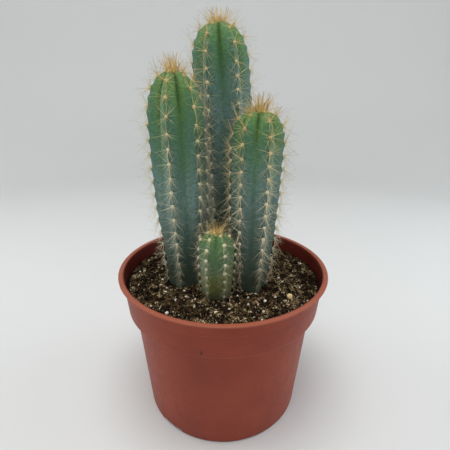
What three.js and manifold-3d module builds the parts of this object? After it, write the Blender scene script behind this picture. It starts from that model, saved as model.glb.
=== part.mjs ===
// A potted blue torch cactus: four upright six-ribbed columns set with spines, growing in peaty mix
// in a thin round nursery pot. Millimetres, +Z up. The origin is the centre of the pot's foot, on the
// surface that it stands on. The front of the plant faces -Y, and +X is to its right.

import * as THREE from 'three';
import { mergeVertices } from 'three/addons/utils/BufferGeometryUtils.js';
import Module from 'manifold-3d';

const wasm = await Module();
wasm.setup();

// The pot: a 17 cm nursery pot
const POT_HEIGHT = 124.2;
const RIM_RADIUS = 85;
const RIM_THICKNESS = 1.5;
const WALL = 1.1;
const COLLAR_TOP_RADIUS = 81.9;
const COLLAR_BOTTOM_RADIUS = 78.9;
const COLLAR_BOTTOM = 94.4;
const STACKING_LEDGE = 113.2;
const STACKING_STEP = 0.3;
const SHOULDER_RADIUS = 73.5;
const SHOULDER_DROP = 2.6;
const BASE_RADIUS = 66; // of the body's taper, carried down to the surface that the pot stands on
const FOOT_CORNER = 2.4; // how far the body's lower corner is rounded off, in two flats
const FLATS_MEET = 0.72; // how far above the ground and in from the body
const FOOT_RADIUS = BASE_RADIUS - FOOT_CORNER;
const FOOT_WIDTH = 2.5;
const FLOOR_UNDERSIDE = 3;
const FLOOR_TOP = 4.3;
const NOTCH_BEARINGS = [-39, 141];
const NOTCH_WIDTH = 21;
const NOTCH_HEIGHT = 3.4;
const DRAIN_HOLES = 6;
const DRAIN_RADIUS = 4;
const DRAIN_CIRCLE = 44;
const DRAIN_FACETS = 12;
const POT_FACETS = 40;

// The potting mix
const CLEARANCE = 0.3;
const SOIL_LEVEL = 112.6;
const SOIL_RINGS = 8;
const LUMPS = 130;
const LUMP_RADIUS = 7;
const LUMP_HEIGHT = 1.1;
const HEAP_HEIGHT = 3.2;
const HEAP_REACH = [24, 20]; // of the heap round the small column, to the side and to the front

// The columns
const RIBS = 6;
const RIB_ANGLE = (2 * Math.PI) / RIBS;
const BAND = 0.18; // half width of a rib's blunt edge, as a share of the way to the groove
const RIB_STATIONS = [-BAND, BAND, 1];
const GROOVE_SHARPNESS = 0.25;
const CROWN_DEPTH = 0.42; // how deep the grooves are at the crown, as a share of the radius
const GROOVE_FADE = 42; // mm down the column over which they grow shallow
const BUMP = 0.65;
const CAP_HEIGHT = 1.1; // the crown's top, above the first areoles
const CROWDED_WITHIN = 25; // mm below the apex within which the areoles crowd together
const CROWDED_SHARE = 0.5; // of their full spacing at the apex
const GROWN_ABOVE = 60; // mm above the mix from where they have their full spacing
const FIRST_AREOLE = 2; // mm above the mix
const BURIED = 26; // depth of a stem in the mix
const STEM_END_SHARE = 0.55; // width of a buried stem's end, as a share of its width above

// foot and top are the places of the axis at the soil's surface and at the apex, and bend is 1 where it
// runs straight between them and more where it leans mostly near the top; girth gives the radius over a
// rib's edge at a few heights; firstRib is the bearing of a rib whose areoles stand on the even half
// steps, and those of the ribs on either side of it stand on the odd ones.
const COLUMNS = [
  {
    name: 'column_left', foot: [-30, -6], top: [-34.9, -6], bend: 1, apex: 273, firstRib: -12,
    girth: [[84, 13.5], [113, 14.6], [130, 15.1], [150, 16.7], [176, 19.3], [210, 20.2], [273, 20]],
    dome: 38, bluntness: 2.4, grooves: 0.12, spacing: 9.9, footSpacing: 7.2, spineLength: 9.5,
  },
  {
    name: 'column_tall', foot: [3, 25], top: [-4.7, 27], bend: 1.9, apex: 307, firstRib: -89,
    girth: [[84, 16], [113, 17], [150, 19.2], [200, 21.8], [240, 22.8], [270, 21.7], [307, 21]],
    dome: 30, bluntness: 2.4, grooves: 0.12, spacing: 9.4, footSpacing: 7.4, spineLength: 9.5,
  },
  {
    name: 'column_right', foot: [21.4, -15], top: [24.2, -13], bend: 1, apex: 248, firstRib: -98,
    girth: [[84, 11.5], [113, 12], [129, 13.8], [144, 15.3], [169, 17.1], [222, 18.4], [248, 18.2]],
    dome: 24, bluntness: 2.6, grooves: 0.1, spacing: 8.8, footSpacing: 7, spineLength: 9,
  },
  {
    name: 'column_small', foot: [-4.9, -30], top: [-4.9, -30], bend: 1, apex: 165.5, firstRib: -92,
    girth: [[84, 10.2], [113, 11], [135, 12.6], [153, 13.3], [165.5, 12.9]],
    dome: 17, bluntness: 2.6, grooves: 0.09, spacing: 7.6, footSpacing: 6.2, spineLength: 7.5,
  },
];

// The spines
const SPINE_RADIUS = 0.38;
const SPINE_SIDES = 3;
const SPINE_ROOT = 1.3; // how far a spine's root is sunk into the rib
const ROOTS_APART = 0.22; // half the way between a pair's roots, as a share of the edge's half width
const SHORTEST_SPINE = 3.5;
const SPINE_GAP = 0.6; // kept between the spines of neighbouring columns
const SPINE_FLOOR = 117; // no spine reaches below this, so that all clear the mix
const STEEP_WITHIN = 30; // mm below the apex within which the spines turn upwards
const STEEP_RISE = 1.1;
const PAIR = [
  { side: -0.75, rise: -0.28, below: 0.9 },
  { side: 0.75, rise: 0.3, below: -0.9 },
];
const WAYS_CLEAR = [[0, 1], [0.6, 0.9], [1.2, 0.75], [2, 0.6], [3, 0.45]]; // more lift, less length
const CROWN_CIRCLES = [0.2, 0.6]; // of the crown's tuft, as shares of the cap's radius
const FIRST_SEED = 11;
const SOIL_SEED = 7;

const UP = new THREE.Vector3(0, 0, 1);
const ALONG_CONE = new THREE.Vector3(0, 1, 0);

// A repeatable draw of numbers from 0 to 1
function seededRandom(seed) {
  let state = seed;
  return () => {
    state = (state + 0x6d2b79f5) | 0;
    let mixed = Math.imul(state ^ (state >>> 15), 1 | state);
    mixed = (mixed + Math.imul(mixed ^ (mixed >>> 7), 61 | mixed)) ^ mixed;
    return ((mixed ^ (mixed >>> 14)) >>> 0) / 4294967296;
  };
}

function between(random, low, high) {
  return low + (high - low) * random();
}

function smooth(share) {
  const held = Math.min(1, Math.max(0, share));
  return held * held * (3 - 2 * held);
}

// A bearing in degrees, measured from the front towards +X, as an angle about +Z from +X
function bearing(degrees) {
  return THREE.MathUtils.degToRad(degrees - 90);
}

function levelVector(angle, length) {
  return new THREE.Vector3(length * Math.cos(angle), length * Math.sin(angle), 0);
}

// A closed mesh as a solid, with its faces turned outwards
function toSolid(geometry) {
  const bare = geometry.clone();
  bare.deleteAttribute('normal');
  bare.deleteAttribute('uv');
  const merged = mergeVertices(bare, 1e-4);
  const places = merged.attributes.position;
  const corner = (i) => new THREE.Vector3().fromBufferAttribute(places, i);
  const triangles = [];
  let volume = 0;
  for (let i = 0; i < merged.index.count; i += 3) {
    const [a, b, c] = [0, 1, 2].map((step) => merged.index.getX(i + step));
    if (a !== b && b !== c && c !== a) {
      triangles.push([a, b, c]);
      volume += corner(a).dot(corner(b).cross(corner(c)));
    }
  }
  const outward = volume > 0 ? triangles : triangles.map(([a, b, c]) => [a, c, b]);
  return new wasm.Manifold(new wasm.Mesh({
    numProp: 3,
    vertProperties: new Float32Array(places.array),
    triVerts: new Uint32Array(outward.flat()),
  }));
}

function toMesh(name, solid, color, roughness) {
  const cut = solid.getMesh();
  const geometry = new THREE.BufferGeometry();
  geometry.setAttribute('position', new THREE.BufferAttribute(cut.vertProperties, 3));
  geometry.setIndex(new THREE.BufferAttribute(cut.triVerts, 1));
  geometry.computeVertexNormals();
  const mesh = new THREE.Mesh(geometry, new THREE.MeshStandardMaterial({ color, roughness, metalness: 0 }));
  mesh.name = name;
  return mesh;
}

// A solid turned about the upright axis from an outline of radius and height
function turned(outline) {
  const points = outline.map(([radius, height]) => new THREE.Vector2(radius, height));
  return new THREE.LatheGeometry(points, POT_FACETS).rotateX(Math.PI / 2);
}

// The pot's outer radius on the tapered body, below the shoulder
function bodyRadius(height) {
  const share = height / (COLLAR_BOTTOM - SHOULDER_DROP);
  return BASE_RADIUS + (SHOULDER_RADIUS - BASE_RADIUS) * share;
}

// The inside of the wall, from the floor up to the rim
const INNER_WALL = [
  [bodyRadius(FLOOR_TOP) - WALL, FLOOR_TOP],
  [SHOULDER_RADIUS - WALL, COLLAR_BOTTOM - SHOULDER_DROP + WALL / 2],
  [COLLAR_BOTTOM_RADIUS - WALL, COLLAR_BOTTOM + WALL],
  [COLLAR_TOP_RADIUS - WALL, POT_HEIGHT],
];

function makePot() {
  const underRim = POT_HEIGHT - RIM_THICKNESS;
  const ledgeRadius = THREE.MathUtils.mapLinear(
    STACKING_LEDGE, COLLAR_BOTTOM, underRim, COLLAR_BOTTOM_RADIUS, COLLAR_TOP_RADIUS,
  );
  const outline = [
    [0, FLOOR_UNDERSIDE],
    [FOOT_RADIUS - FOOT_WIDTH, FLOOR_UNDERSIDE],
    [FOOT_RADIUS - FOOT_WIDTH, 0],
    [FOOT_RADIUS, 0],
    [bodyRadius(FLATS_MEET) - FLATS_MEET, FLATS_MEET],
    [bodyRadius(FOOT_CORNER), FOOT_CORNER],
    [SHOULDER_RADIUS, COLLAR_BOTTOM - SHOULDER_DROP],
    [COLLAR_BOTTOM_RADIUS, COLLAR_BOTTOM],
    [ledgeRadius - STACKING_STEP, STACKING_LEDGE],
    [ledgeRadius, STACKING_LEDGE + STACKING_STEP],
    [COLLAR_TOP_RADIUS, underRim],
    [RIM_RADIUS - RIM_THICKNESS / 3, underRim],
    [RIM_RADIUS, underRim + RIM_THICKNESS / 3],
    [RIM_RADIUS, POT_HEIGHT - RIM_THICKNESS / 3],
    [RIM_RADIUS - RIM_THICKNESS / 3, POT_HEIGHT],
    ...INNER_WALL.toReversed(),
    [0, FLOOR_TOP],
  ];
  let pot = toSolid(turned(outline));
  for (const degrees of NOTCH_BEARINGS) {
    const notch = new THREE.BoxGeometry(6 * FOOT_WIDTH, NOTCH_WIDTH, 2 * NOTCH_HEIGHT);
    notch.translate(FOOT_RADIUS - FOOT_WIDTH / 2, 0, 0).rotateZ(bearing(degrees));
    pot = pot.subtract(toSolid(notch));
  }
  for (let hole = 0; hole < DRAIN_HOLES; hole += 1) {
    const drill = new THREE.CylinderGeometry(DRAIN_RADIUS, DRAIN_RADIUS, 4 * FLOOR_TOP, DRAIN_FACETS);
    drill.rotateX(Math.PI / 2).translate(DRAIN_CIRCLE, 0, 0).rotateZ((hole * 2 * Math.PI) / DRAIN_HOLES);
    pot = pot.subtract(toSolid(drill));
  }
  return toMesh('pot', pot, 0x7e4335, 0.55);
}

// The radius over a rib's edge at a height: a smooth curve through the girth's few points, closed by
// the crown's dome above and drawn in to the buried stem's end below
function edgeRadius(column, height) {
  const { girth, apex, dome, bluntness } = column;
  const last = girth.length - 2;
  const after = girth.findIndex(([z]) => z > height);
  const k = Math.min(last, Math.max(0, (after < 0 ? last + 1 : after) - 1));
  const slope = (i) => {
    const [low, high] = [girth[Math.max(0, i - 1)], girth[Math.min(last + 1, i + 1)]];
    return (high[1] - low[1]) / (high[0] - low[0]);
  };
  const span = girth[k + 1][0] - girth[k][0];
  const t = (height - girth[k][0]) / span;
  const ease = t * t * (3 - 2 * t);
  const bend = t * (1 - t) * ((1 - t) * slope(k) - t * slope(k + 1)) * span;
  const radius = girth[k][1] * (1 - ease) + girth[k + 1][1] * ease + bend;
  const up = Math.max(0, (height - (apex - dome)) / dome);
  return radius * Math.max(0, 1 - up ** bluntness) ** (1 / bluntness);
}

// How far the surface lies towards the groove's bottom: 0 on a rib's edge, 1 in the groove
function grooveShape(share) {
  const e = GROOVE_SHARPNESS;
  return (Math.hypot(share, e) - e) / (Math.hypot(1, e) - e);
}

// How deep the grooves are, as a share of the radius: deep at the crown and nearly flat at the foot
function grooveDepth(column, height) {
  const down = column.apex - height;
  const depth = column.grooves + (CROWN_DEPTH - column.grooves) * Math.exp(-down / GROOVE_FADE);
  return depth * smooth((height - (SOIL_LEVEL - BURIED)) / BURIED);
}

function axisAt(column, height) {
  const share = (Math.max(0, height - SOIL_LEVEL) / (column.apex - SOIL_LEVEL)) ** column.bend;
  const [x, y] = [0, 1].map((i) => THREE.MathUtils.lerp(column.foot[i], column.top[i], share));
  return new THREE.Vector2(x, y);
}

// Heights down a column, half an areole's spacing apart: closer at the crown and towards the foot
function halfSteps(column) {
  const heights = [];
  let height = column.apex - CAP_HEIGHT;
  while (height > SOIL_LEVEL + FIRST_AREOLE) {
    heights.push(height);
    const grown = smooth((height - SOIL_LEVEL) / GROWN_ABOVE);
    const open = smooth((column.apex - height) / CROWDED_WITHIN);
    const crowded = THREE.MathUtils.lerp(CROWDED_SHARE, 1, open);
    const spacing = THREE.MathUtils.lerp(column.footSpacing, column.spacing, grown);
    height -= (spacing * crowded) / 2;
  }
  return heights;
}

// A rib swells under each of its areoles, and those of neighbouring ribs alternate
function swelling(step, rib) {
  return (step + rib) % 2 === 0 ? BUMP : -BUMP;
}

// The ribbed body, from the stem's end in the mix to the apex. grow widens it to cut its hole.
function columnBody(column, grow = 0) {
  const steps = halfSteps(column);
  const buried = [SOIL_LEVEL - FIRST_AREOLE, SOIL_LEVEL - BURIED / 2, SOIL_LEVEL - BURIED * 0.85];
  const heights = [...steps, ...buried];
  const outline = heights.map((height) => new THREE.Vector2(edgeRadius(column, height), height));
  outline.unshift(new THREE.Vector2(0, column.apex + grow));
  outline.push(new THREE.Vector2(0, SOIL_LEVEL - BURIED - grow));
  const around = RIBS * RIB_STATIONS.length;
  const geometry = new THREE.LatheGeometry(outline, around);
  const place = geometry.attributes.position;
  for (let turn = 0; turn <= around; turn += 1) {
    const rib = Math.floor(turn / RIB_STATIONS.length) % RIBS;
    const station = RIB_STATIONS[turn % RIB_STATIONS.length];
    const angle = bearing(column.firstRib) + (rib + station / 2) * RIB_ANGLE;
    outline.forEach((point, k) => {
      const axis = axisAt(column, point.y);
      let radius = 0;
      if (point.x > 0) {
        const onEdge = k <= steps.length && Math.abs(station) < 1;
        const depth = grooveDepth(column, point.y) * grooveShape(station);
        const narrowed = k === outline.length - 2 ? STEM_END_SHARE : 1;
        radius = point.x * (1 - depth) * narrowed + (onEdge ? swelling(k - 1, rib) : 0) + grow;
      }
      place.setXYZ(
        turn * outline.length + k,
        axis.x + radius * Math.cos(angle),
        axis.y + radius * Math.sin(angle),
        point.y,
      );
    });
  }
  return toSolid(geometry);
}

// How far a point lies outside a column's ribs, measured level, or from the apex if it is above that
function distanceOutside(column, point) {
  const held = Math.min(point.z, column.apex - 1);
  const axis = axisAt(column, held);
  const level = Math.hypot(point.x - axis.x, point.y - axis.y) - edgeRadius(column, held);
  return Math.hypot(Math.max(0, level), Math.max(0, point.z - column.apex)) + Math.min(0, level);
}

// Whether a spine stays on its own column's side of the gap to each other column, and above the mix
function isClear(column, root, tip) {
  return [0.4, 0.7, 1].every((share) => {
    const point = root.clone().lerp(tip, share);
    const own = Math.max(0, distanceOutside(column, point));
    const others = COLUMNS.filter((other) => other !== column);
    return point.z > SPINE_FLOOR - 2 * (1 - share)
      && others.every((other) => distanceOutside(other, point) > own + SPINE_GAP);
  });
}

// One spine: a slim cone with its root sunk into the rib. It is bent upwards or kept short where it
// would reach into a neighbour, and left out where even the shortest would.
function spine(column, root, inward, direction, length) {
  const start = root.clone().addScaledVector(inward, SPINE_ROOT);
  for (const [lift, share] of WAYS_CLEAR) {
    const aim = direction.clone().addScaledVector(UP, lift).normalize();
    const tip = root.clone().addScaledVector(aim, Math.max(SHORTEST_SPINE, length * share));
    if (isClear(column, root, tip)) {
      const line = tip.clone().sub(start);
      const cone = new THREE.ConeGeometry(SPINE_RADIUS, line.length(), SPINE_SIDES);
      cone.translate(0, line.length() / 2, 0);
      cone.applyQuaternion(new THREE.Quaternion().setFromUnitVectors(ALONG_CONE, line.normalize()));
      cone.translate(start.x, start.y, start.z);
      return toSolid(cone);
    }
  }
  return null;
}

// The spines of one areole: a pair that spreads to either side, one rising and one falling
function areoleSpines(column, rib, height, random) {
  const angle = bearing(column.firstRib) + rib * RIB_ANGLE;
  const outward = levelVector(angle, 1);
  const along = levelVector(angle + Math.PI / 2, 1);
  const axis = axisAt(column, height);
  const steep = smooth(1 - (column.apex - height) / STEEP_WITHIN);
  return PAIR.map(({ side, rise, below }) => {
    const radius = edgeRadius(column, height - below);
    const aside = Math.sign(side) * ROOTS_APART * BAND * (RIB_ANGLE / 2) * radius;
    const root = new THREE.Vector3(axis.x, axis.y, height - below)
      .addScaledVector(outward, radius + BUMP / 2)
      .addScaledVector(along, aside);
    const direction = outward.clone()
      .addScaledVector(along, side + between(random, -0.25, 0.25))
      .addScaledVector(UP, rise + steep * STEEP_RISE + between(random, -0.2, 0.25))
      .normalize();
    const inward = outward.clone().negate().addScaledVector(UP, -steep).normalize();
    return spine(column, root, inward, direction, column.spineLength * between(random, 0.85, 1.15));
  });
}

// The tuft on the crown, where the youngest areoles crowd together on the ribs' ends round the apex
function crownSpines(column, random) {
  const capRadius = edgeRadius(column, column.apex - CAP_HEIGHT);
  const axis = axisAt(column, column.apex);
  const down = UP.clone().negate();
  return CROWN_CIRCLES.flatMap((share, circle) => Array.from({ length: RIBS }, (_, rib) => {
    const angle = bearing(column.firstRib) + rib * RIB_ANGLE;
    const out = share * capRadius;
    const height = column.apex - share * CAP_HEIGHT;
    const root = new THREE.Vector3(axis.x, axis.y, height).add(levelVector(angle, out));
    const lean = between(random, 0.1, 0.3) + 0.3 * circle;
    const direction = levelVector(angle + between(random, -0.6, 0.6), lean).add(UP).normalize();
    return spine(column, root, down, direction, column.spineLength * between(random, 0.85, 1.2));
  }));
}

function makeColumn(column, seed) {
  const random = seededRandom(seed);
  const solids = [columnBody(column), ...crownSpines(column, random)];
  halfSteps(column).forEach((height, step) => {
    for (let rib = 0; rib < RIBS; rib += 1) {
      if ((step + rib) % 2 === 0 && step > 0) {
        solids.push(...areoleSpines(column, rib, height, random));
      }
    }
  });
  const grown = wasm.Manifold.union(solids.filter((solid) => solid !== null));
  return toMesh(column.name, grown, 0x4f7f68, 0.6);
}

// The mix: level but lumpy, heaped a little round the small column, with a plain hole for each stem
function makeSoil() {
  const random = seededRandom(SOIL_SEED);
  const inner = INNER_WALL.map(([radius, height]) => [radius - CLEARANCE, height]);
  const [, shoulder, collar, rim] = inner;
  const edge = THREE.MathUtils.mapLinear(SOIL_LEVEL, collar[1], rim[1], collar[0], rim[0]);
  const bottom = FLOOR_TOP + CLEARANCE;
  const outline = [[0, bottom], [inner[0][0], bottom], shoulder, collar];
  for (let ring = 0; ring <= SOIL_RINGS; ring += 1) {
    outline.push([edge * (1 - ring / SOIL_RINGS), SOIL_LEVEL]);
  }
  const lumps = Array.from({ length: LUMPS }, () => {
    const [out, angle] = [edge * Math.sqrt(random()), 2 * Math.PI * random()];
    return [out * Math.cos(angle), out * Math.sin(angle), between(random, -LUMP_HEIGHT, LUMP_HEIGHT)];
  });
  const small = COLUMNS.find((column) => column.name === 'column_small').foot;
  const mix = turned(outline);
  const place = mix.attributes.position;
  for (let i = 0; i < place.count; i += 1) {
    const [x, y, z] = [place.getX(i), place.getY(i), place.getZ(i)];
    if (z > SOIL_LEVEL - 1) {
      const away = [(x - small[0]) / HEAP_REACH[0], (y - small[1]) / HEAP_REACH[1]];
      const heap = HEAP_HEIGHT * Math.exp(-(away[0] ** 2) - away[1] ** 2);
      const bumps = lumps.reduce((sum, [lx, ly, rise]) => {
        return sum + rise * Math.exp(-((x - lx) ** 2 + (y - ly) ** 2) / LUMP_RADIUS ** 2);
      }, 0);
      place.setZ(i, z + heap + bumps);
    }
  }
  const holes = COLUMNS.map((column) => columnBody(column, CLEARANCE));
  return toMesh('soil', toSolid(mix).subtract(wasm.Manifold.union(holes)), 0x3a2a20, 0.95);
}

const pottedCactus = new THREE.Group();
pottedCactus.add(makePot(), makeSoil());
COLUMNS.forEach((column, i) => pottedCactus.add(makeColumn(column, FIRST_SEED + i)));

export default pottedCactus;
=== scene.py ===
"""A potted blue torch cactus: ribbed blue-green columns set with straw-coloured spines, growing in peaty
mix in a thin terracotta-red nursery pot. Metres, +Z up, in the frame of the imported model."""

import math
from functools import partial
from types import SimpleNamespace

import bmesh
import bpy
from mathutils import Matrix, Vector, noise
from mathutils.bvhtree import BVHTree


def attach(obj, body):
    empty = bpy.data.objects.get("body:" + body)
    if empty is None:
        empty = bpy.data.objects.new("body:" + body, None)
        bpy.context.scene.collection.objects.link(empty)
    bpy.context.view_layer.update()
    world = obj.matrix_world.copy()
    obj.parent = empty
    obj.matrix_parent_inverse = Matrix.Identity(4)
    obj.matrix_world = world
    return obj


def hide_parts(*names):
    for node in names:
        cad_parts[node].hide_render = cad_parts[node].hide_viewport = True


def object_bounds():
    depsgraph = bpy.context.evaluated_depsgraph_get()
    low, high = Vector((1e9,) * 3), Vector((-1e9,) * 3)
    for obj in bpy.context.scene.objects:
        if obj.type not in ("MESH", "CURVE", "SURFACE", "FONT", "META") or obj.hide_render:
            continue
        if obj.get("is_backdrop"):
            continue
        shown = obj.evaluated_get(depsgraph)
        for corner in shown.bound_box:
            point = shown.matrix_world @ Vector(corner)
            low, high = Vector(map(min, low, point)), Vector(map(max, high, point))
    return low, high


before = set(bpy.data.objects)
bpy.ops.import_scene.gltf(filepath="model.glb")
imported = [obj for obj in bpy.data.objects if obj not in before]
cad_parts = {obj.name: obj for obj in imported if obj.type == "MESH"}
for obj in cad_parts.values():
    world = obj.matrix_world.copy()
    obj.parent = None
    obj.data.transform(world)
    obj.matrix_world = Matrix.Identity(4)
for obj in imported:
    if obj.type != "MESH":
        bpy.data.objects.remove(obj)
cad_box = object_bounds()

# The nursery pot
# The real one is injection moulded in one piece from thin polypropylene: a flat rim flange, an upright
# collar with a stacking ledge, a shoulder, a tapered body, and a raised floor on a ring foot. Two shallow
# notches are cut into the foot and six drain holes go through the floor.
MM = 0.001
POT_HEIGHT = 124.2
RIM_RADIUS = 85.0
RIM_THICKNESS = 1.5
WALL = 1.1
COLLAR_TOP_RADIUS = 81.9
COLLAR_BOTTOM_RADIUS = 78.9
COLLAR_BOTTOM = 94.4
STACKING_LEDGE = 113.2
LEDGE_RADIUS = 81.0
SHOULDER_RADIUS = 73.5
SHOULDER = 91.8
BASE_RADIUS = 66.0
FOOT_CORNER = 2.4
FOOT_RADIUS = BASE_RADIUS - FOOT_CORNER
FOOT_WIDTH = 2.5
FLOOR_UNDERSIDE = 3.0
FLOOR_TOP = 4.3
POT_FACETS = 192
NOTCH_BEARINGS = (-39, 141)
NOTCH_SIZE = (15.0, 21.0, 6.8)
DRAIN_HOLES = 6
DRAIN_RADIUS = 4.0
DRAIN_CIRCLE = 44.0
DRILL_LENGTH = 9
DRILL_FACETS = 24
NICK_BEARING = 20.4
NICK_SIZE = (1.6, 2.2, 1.2)
SHARP_ABOVE = 38


def bearing(degrees):
    """A bearing from the front towards +X, as an angle about +Z from +X."""
    return math.radians(degrees - 90)


def with_round_corners(corners, steps=4):
    """Corners of (radius, height, rounding), in mm, as an outline's points with each corner rounded off."""
    points = []
    for i, (radius, height, rounding) in enumerate(corners):
        here = Vector((radius, height))
        if not rounding:
            points.append(here)
            continue
        ends = []
        for other in (corners[i - 1], corners[i + 1]):
            way = Vector(other[:2]) - here
            ends.append(here + way.normalized() * min(rounding, way.length / 2.1))
        for step in range(steps + 1):
            t = step / steps
            points.append(ends[0].lerp(here, t).lerp(here.lerp(ends[1], t), t))
    return points


def shown(name, data):
    """A new object in the scene, with that data; a bmesh is made into a mesh first."""
    if isinstance(data, bmesh.types.BMesh):
        shape, data = data, bpy.data.meshes.new(name)
        shape.to_mesh(data)
        shape.free()
    piece = bpy.data.objects.new(name, data)
    bpy.context.scene.collection.objects.link(piece)
    return piece


def turned(name, outline, facets):
    """An object turned about the upright axis from an outline in mm, closed where an end lies on the axis."""
    mesh = bmesh.new()
    rows = []
    for radius, height in outline:
        if radius < 1e-6:
            rows.append([mesh.verts.new((0, 0, height * MM))])
            continue
        turns = [2 * math.pi * k / facets for k in range(facets)]
        ring = [Vector((radius * math.cos(a), radius * math.sin(a), height)) * MM for a in turns]
        rows.append([mesh.verts.new(point) for point in ring])
    for low, high in zip(rows, rows[1:]):
        for k in range(facets):
            far = (k + 1) % facets
            around = [low[k % len(low)], low[far % len(low)], high[far % len(high)], high[k % len(high)]]
            mesh.faces.new(list(dict.fromkeys(around)))
    bmesh.ops.recalc_face_normals(mesh, faces=mesh.faces)
    return shown(name, mesh)


def cut(piece, cutter):
    """Takes the cutter's shape out of a piece and throws the cutter away."""
    knife = piece.modifiers.new("cut", "BOOLEAN")
    knife.operation = "DIFFERENCE"
    knife.solver = "EXACT"
    knife.object = cutter
    view = bpy.context.evaluated_depsgraph_get()
    piece.data = bpy.data.meshes.new_from_object(piece.evaluated_get(view))
    piece.modifiers.remove(knife)
    bpy.data.objects.remove(cutter)


def block(size, radius, degrees, height):
    """A box in mm, at a distance from the upright axis and turned to a bearing, for cutting."""
    mesh = bmesh.new()
    bmesh.ops.create_cube(mesh, size=1)
    angle = bearing(degrees)
    for corner in mesh.verts:
        out = radius + corner.co.x * size[0]
        side = corner.co.y * size[1]
        x = out * math.cos(angle) - side * math.sin(angle)
        y = out * math.sin(angle) + side * math.cos(angle)
        corner.co = Vector((x, y, height + corner.co.z * size[2])) * MM
    return shown("cutter", mesh)


def linear(colour):
    """An sRGB hex colour as linear red, green, blue and alpha."""
    parts = [int(colour[i : i + 2], 16) / 255 for i in (1, 3, 5)]
    return [p / 12.92 if p <= 0.04045 else ((p + 0.055) / 1.055) ** 2.4 for p in parts] + [1.0]


def fill(node, inputs):
    """Gives a node's sockets their values, or links them; a node stands for its first output in use."""
    for key, value in inputs.items():
        if isinstance(value, bpy.types.Node):
            value = next(socket for socket in value.outputs if socket.enabled)
        if isinstance(value, bpy.types.NodeSocket):
            node.id_data.links.new(value, node.inputs[key])
        else:
            node.inputs[key].default_value = value


# The kinds of node that are added most
MATH = "ShaderNodeMath"
VECTOR_MATH = "ShaderNodeVectorMath"
MAP_RANGE = "ShaderNodeMapRange"
NOISE = "ShaderNodeTexNoise"


def add(tree, kind, *values, stops=(), **named):
    """Adds a node. A bare word is its operation. Values go into its sockets in order, or by number or name in
    a dict. A keyword with a capital is a socket, any other a property, and stops fill its colour ramp."""
    node = tree.nodes.new(kind)
    inputs = {}
    for value in values:
        if isinstance(value, str):
            node.operation = value
        else:
            inputs.update(value if isinstance(value, dict) else {len(inputs): value})
    for name, value in named.items():
        if name[0].isupper():
            inputs[name.replace("_", " ")] = value
        else:
            setattr(node, name, value)
    for place, colour in stops[1:-1]:
        node.color_ramp.elements.new(place)
    for k, (place, colour) in enumerate(stops):
        node.color_ramp.elements[k].position = place
        node.color_ramp.elements[k].color = linear(colour)
    fill(node, inputs)
    return node


def new_material(name, *facts):
    """A material, its shader, the way to add a node to it, and the named facts that its piece carries."""
    material = bpy.data.materials.new(name)
    material.use_nodes = True
    put = partial(add, material.node_tree)
    read = [put("ShaderNodeAttribute", attribute_name=fact).outputs["Fac"] for fact in facts]
    return material, material.node_tree.nodes["Principled BSDF"], put, *read


def overlaid(put, tint, layers):
    """Lays colours over a tint: each layer says how much of it, where, and which hex colour."""
    for much, where, colour in layers:
        share = put(MATH, "MULTIPLY", much, where)
        tint = put("ShaderNodeMix", share, {6: tint, 7: linear(colour)}, data_type="RGBA")
    return tint


pot_corners = [
    (0, FLOOR_UNDERSIDE, 0),
    (FOOT_RADIUS - FOOT_WIDTH, FLOOR_UNDERSIDE, 0.5),
    (FOOT_RADIUS - FOOT_WIDTH, 0, 0.3),
    (BASE_RADIUS - 0.2, 0, FOOT_CORNER),
    (SHOULDER_RADIUS, SHOULDER, 1.4),
    (COLLAR_BOTTOM_RADIUS, COLLAR_BOTTOM, 1.2),
    (LEDGE_RADIUS - 0.3, STACKING_LEDGE - 0.1, 0.15),
    (LEDGE_RADIUS + 0.02, STACKING_LEDGE + 0.3, 0.15),
    (COLLAR_TOP_RADIUS, POT_HEIGHT - RIM_THICKNESS, 0.4),
    (RIM_RADIUS, POT_HEIGHT - RIM_THICKNESS, 0.6),
    (RIM_RADIUS, POT_HEIGHT, 0.7),
    (COLLAR_TOP_RADIUS - WALL, POT_HEIGHT, 0.8),
    (COLLAR_BOTTOM_RADIUS - WALL, COLLAR_BOTTOM + WALL, 1.0),
    (SHOULDER_RADIUS - WALL, SHOULDER + WALL / 2, 1.0),
    (BASE_RADIUS - WALL + 0.3, FLOOR_TOP, 1.0),
    (0, FLOOR_TOP, 0),
]
pot = turned("nursery_pot", with_round_corners(pot_corners), POT_FACETS)
for degrees in NOTCH_BEARINGS:
    cut(pot, block(NOTCH_SIZE, FOOT_RADIUS - FOOT_WIDTH / 2, degrees, 0))
for hole in range(DRAIN_HOLES):
    sides = [(0, 0), (DRAIN_RADIUS, 0), (DRAIN_RADIUS, DRILL_LENGTH), (0, DRILL_LENGTH)]
    drill = turned("drill", sides, DRILL_FACETS)
    angle = 2 * math.pi * hole / DRAIN_HOLES
    for corner in drill.data.vertices:
        corner.co += Vector((DRAIN_CIRCLE * math.cos(angle), DRAIN_CIRCLE * math.sin(angle), 0)) * MM
    cut(pot, drill)
cut(pot, block(NICK_SIZE, COLLAR_TOP_RADIUS - WALL, NICK_BEARING, POT_HEIGHT))
pot.data.shade_smooth()
pot.data.set_sharp_from_angle(angle=math.radians(SHARP_ABOVE))

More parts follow.
